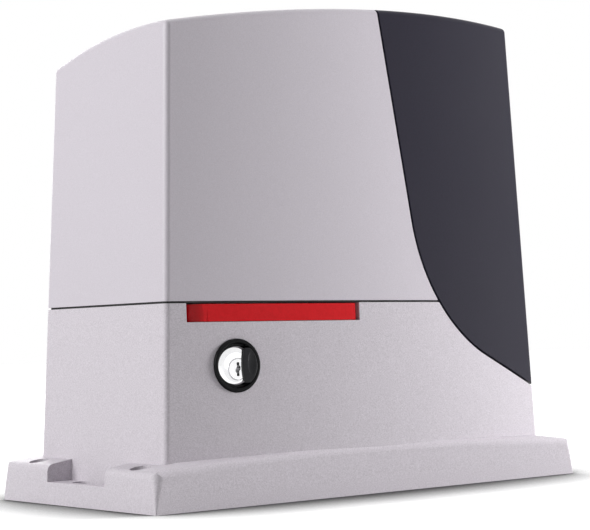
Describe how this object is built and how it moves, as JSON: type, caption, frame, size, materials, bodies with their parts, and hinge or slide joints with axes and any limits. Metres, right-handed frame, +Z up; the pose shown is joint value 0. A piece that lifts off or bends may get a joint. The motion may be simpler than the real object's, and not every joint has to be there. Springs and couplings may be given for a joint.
{
  "type": "sliding gate motor",
  "caption": "Sliding gate motor: cast base with worm gearbox and rack pinion, lift-off bowed cover with dark side panel, red manual release handle and keyed lock.",
  "frame": {"origin": "centre of the base's underside", "axes": "+X along the gate and the base's long side, +Y towards the rack that the pinion drives, +Z up"},
  "size_m": [0.33, 0.1955, 0.2907],
  "materials": {
    "casting_paint": "fine textured powder coat over die-cast aluminium",
    "cover_paint": "satin grey finish on a moulded shell, finer grain than the casting",
    "panel_dark": "fine-grained anthracite plastic",
    "handle_red": "glossy red",
    "lock_black": "gloss black",
    "lock_chrome": "polished",
    "seal_rubber": "matt black rubber",
    "machined_aluminium": "machined and as-cast aluminium",
    "steel_ground": "ground steel",
    "steel_zinc": "bright zinc plated",
    "steel_dark": "phosphated steel",
    "bronze": "gear bronze",
    "copper": "enamelled copper",
    "magnet_ferrite": "ferrite",
    "insulation": "black moulded plastic",
    "carrier_plastic": "dark grey moulded plastic",
    "board_green": "green solder mask",
    "terminal_green": "green moulded plastic",
    "relay_blue": "blue moulded plastic",
    "can_sleeve": "dark shrink sleeve",
    "coil_tape": "yellow polyester tape",
    "button_light": "pale moulded plastic"
  },
  "bodies": {
    "base": {"base_casting": "casting_paint", "levelling_screws": "steel_zinc", "gearbox_cover_plate": "machined_aluminium", "gearbox_cover_screws": "steel_zinc", "front_bearing": "steel_ground", "rear_bearing": "steel_ground", "output_seal": "seal_rubber", "worm_bearings": "steel_ground", "slider_guides": "steel_zinc", "lock_bezel": "lock_black", "lock_barrel": "lock_chrome", "lock_nut": "steel_zinc", "motor_flange": "machined_aluminium", "motor_can": "steel_dark", "motor_magnets": "magnet_ferrite", "brushes": "magnet_ferrite", "brush_holder": "insulation", "motor_end_cap": "machined_aluminium", "motor_top_bearing": "steel_ground", "motor_screws": "steel_zinc", "transformer_coil": "coil_tape", "transformer_pads": "seal_rubber", "transformer_clamp": "steel_zinc", "cable_grommet": "seal_rubber", "board_carrier": "carrier_plastic", "control_board": "board_green", "board_screws": "steel_zinc", "terminal_blocks": "terminal_green", "relays": "relay_blue", "capacitors": "can_sleeve", "small_components": "insulation", "limit_switch_body": "insulation", "limit_switch_screws": "steel_zinc", "cover_screws": "steel_zinc"},
    "output": {"output_shaft": "steel_ground", "shaft_keys": "steel_dark", "shaft_retainers": "steel_dark", "pinion": "steel_zinc", "pinion_fastener": "steel_zinc"},
    "wheel": {"worm_wheel": "bronze"},
    "rotor": {"worm_shaft": "steel_ground", "armature_core": "steel_dark", "armature_winding": "copper", "commutator": "copper"},
    "clutch": {"clutch_ring": "steel_dark"},
    "fork": {"release_fork": "steel_dark", "release_rod": "steel_ground"},
    "slider": {"release_slider": "steel_zinc"},
    "handle": {"release_handle": "handle_red", "handle_spindle": "steel_zinc"},
    "key_plug": {"lock_plug": "lock_chrome", "lock_cam": "steel_zinc"},
    "shutter": {"lock_shutter": "lock_black"},
    "cover": {"cover_shell": "cover_paint", "side_panel": "panel_dark", "cover_seal": "seal_rubber"},
    "lever": {"limit_lever": "steel_ground"},
    "open_button": {"button_open": "button_light"},
    "stop_button": {"button_stop": "button_light"},
    "close_button": {"button_close": "button_light"}
  },
  "joints": [
    {"name": "rotor_spin", "type": "hinge", "parent": "base", "child": "rotor", "pos_m": [-0.065, 0, 0.1], "axis": [0, 0, 1], "continuous": true},
    {"name": "output_spin", "type": "hinge", "parent": "base", "child": "output", "pos_m": [-0.025, 0, 0.062], "axis": [0, 1, 0], "continuous": true},
    {"name": "wheel_spin", "type": "hinge", "parent": "base", "child": "wheel", "pos_m": [-0.025, 0, 0.062], "axis": [0, 1, 0], "continuous": true},
    {"name": "handle_swing", "type": "hinge", "parent": "base", "child": "handle", "pos_m": [-0.1189, -0.05377, 0.105], "axis": [0, 0, -1], "range_deg": [0, 90]},
    {"name": "release_slide", "type": "slide", "parent": "base", "child": "slider", "axis": [1, 0, 0], "range_m": [0, 0.008]},
    {"name": "fork_slide", "type": "slide", "parent": "base", "child": "fork", "axis": [0, 1, 0], "range_m": [0, 0.006]},
    {"name": "clutch_slide", "type": "slide", "parent": "output", "child": "clutch", "axis": [0, 1, 0], "range_m": [0, 0.006]},
    {"name": "key_turn", "type": "hinge", "parent": "base", "child": "key_plug", "pos_m": [-0.1018, -0.06728, 0.0743], "axis": [0.1238, 0.9923, 0], "range_deg": [0, 90]},
    {"name": "shutter_slide", "type": "slide", "parent": "base", "child": "shutter", "axis": [-0.9923, 0.1238, 0], "range_m": [0, 0.012]},
    {"name": "cover_lift", "type": "slide", "parent": "base", "child": "cover", "axis": [0, 0, 1], "range_m": [0, 0.2]},
    {"name": "lever_swing", "type": "hinge", "parent": "base", "child": "lever", "pos_m": [-0.025, 0.056, 0.119], "axis": [0, 0, 1], "range_deg": [-35, 35], "stiffness_Nm_per_rad": 0.08},
    {"name": "open_press", "type": "slide", "parent": "base", "child": "open_button", "axis": [0, 1, 0], "range_m": [0, 0.0008], "stiffness_N_per_m": 500},
    {"name": "stop_press", "type": "slide", "parent": "base", "child": "stop_button", "axis": [0, 1, 0], "range_m": [0, 0.0008], "stiffness_N_per_m": 500},
    {"name": "close_press", "type": "slide", "parent": "base", "child": "close_button", "axis": [0, 1, 0], "range_m": [0, 0.0008], "stiffness_N_per_m": 500}
  ],
  "couplings": [
    {"joint": "output_spin", "follows": "rotor_spin", "ratio": -0.05},
    {"joint": "wheel_spin", "follows": "rotor_spin", "ratio": -0.05},
    {"joint": "release_slide", "follows": "handle_swing", "m_per_rad": 0.00508},
    {"joint": "fork_slide", "follows": "handle_swing", "m_per_rad": 0.00381},
    {"joint": "clutch_slide", "follows": "handle_swing", "m_per_rad": 0.00381}
  ]
}
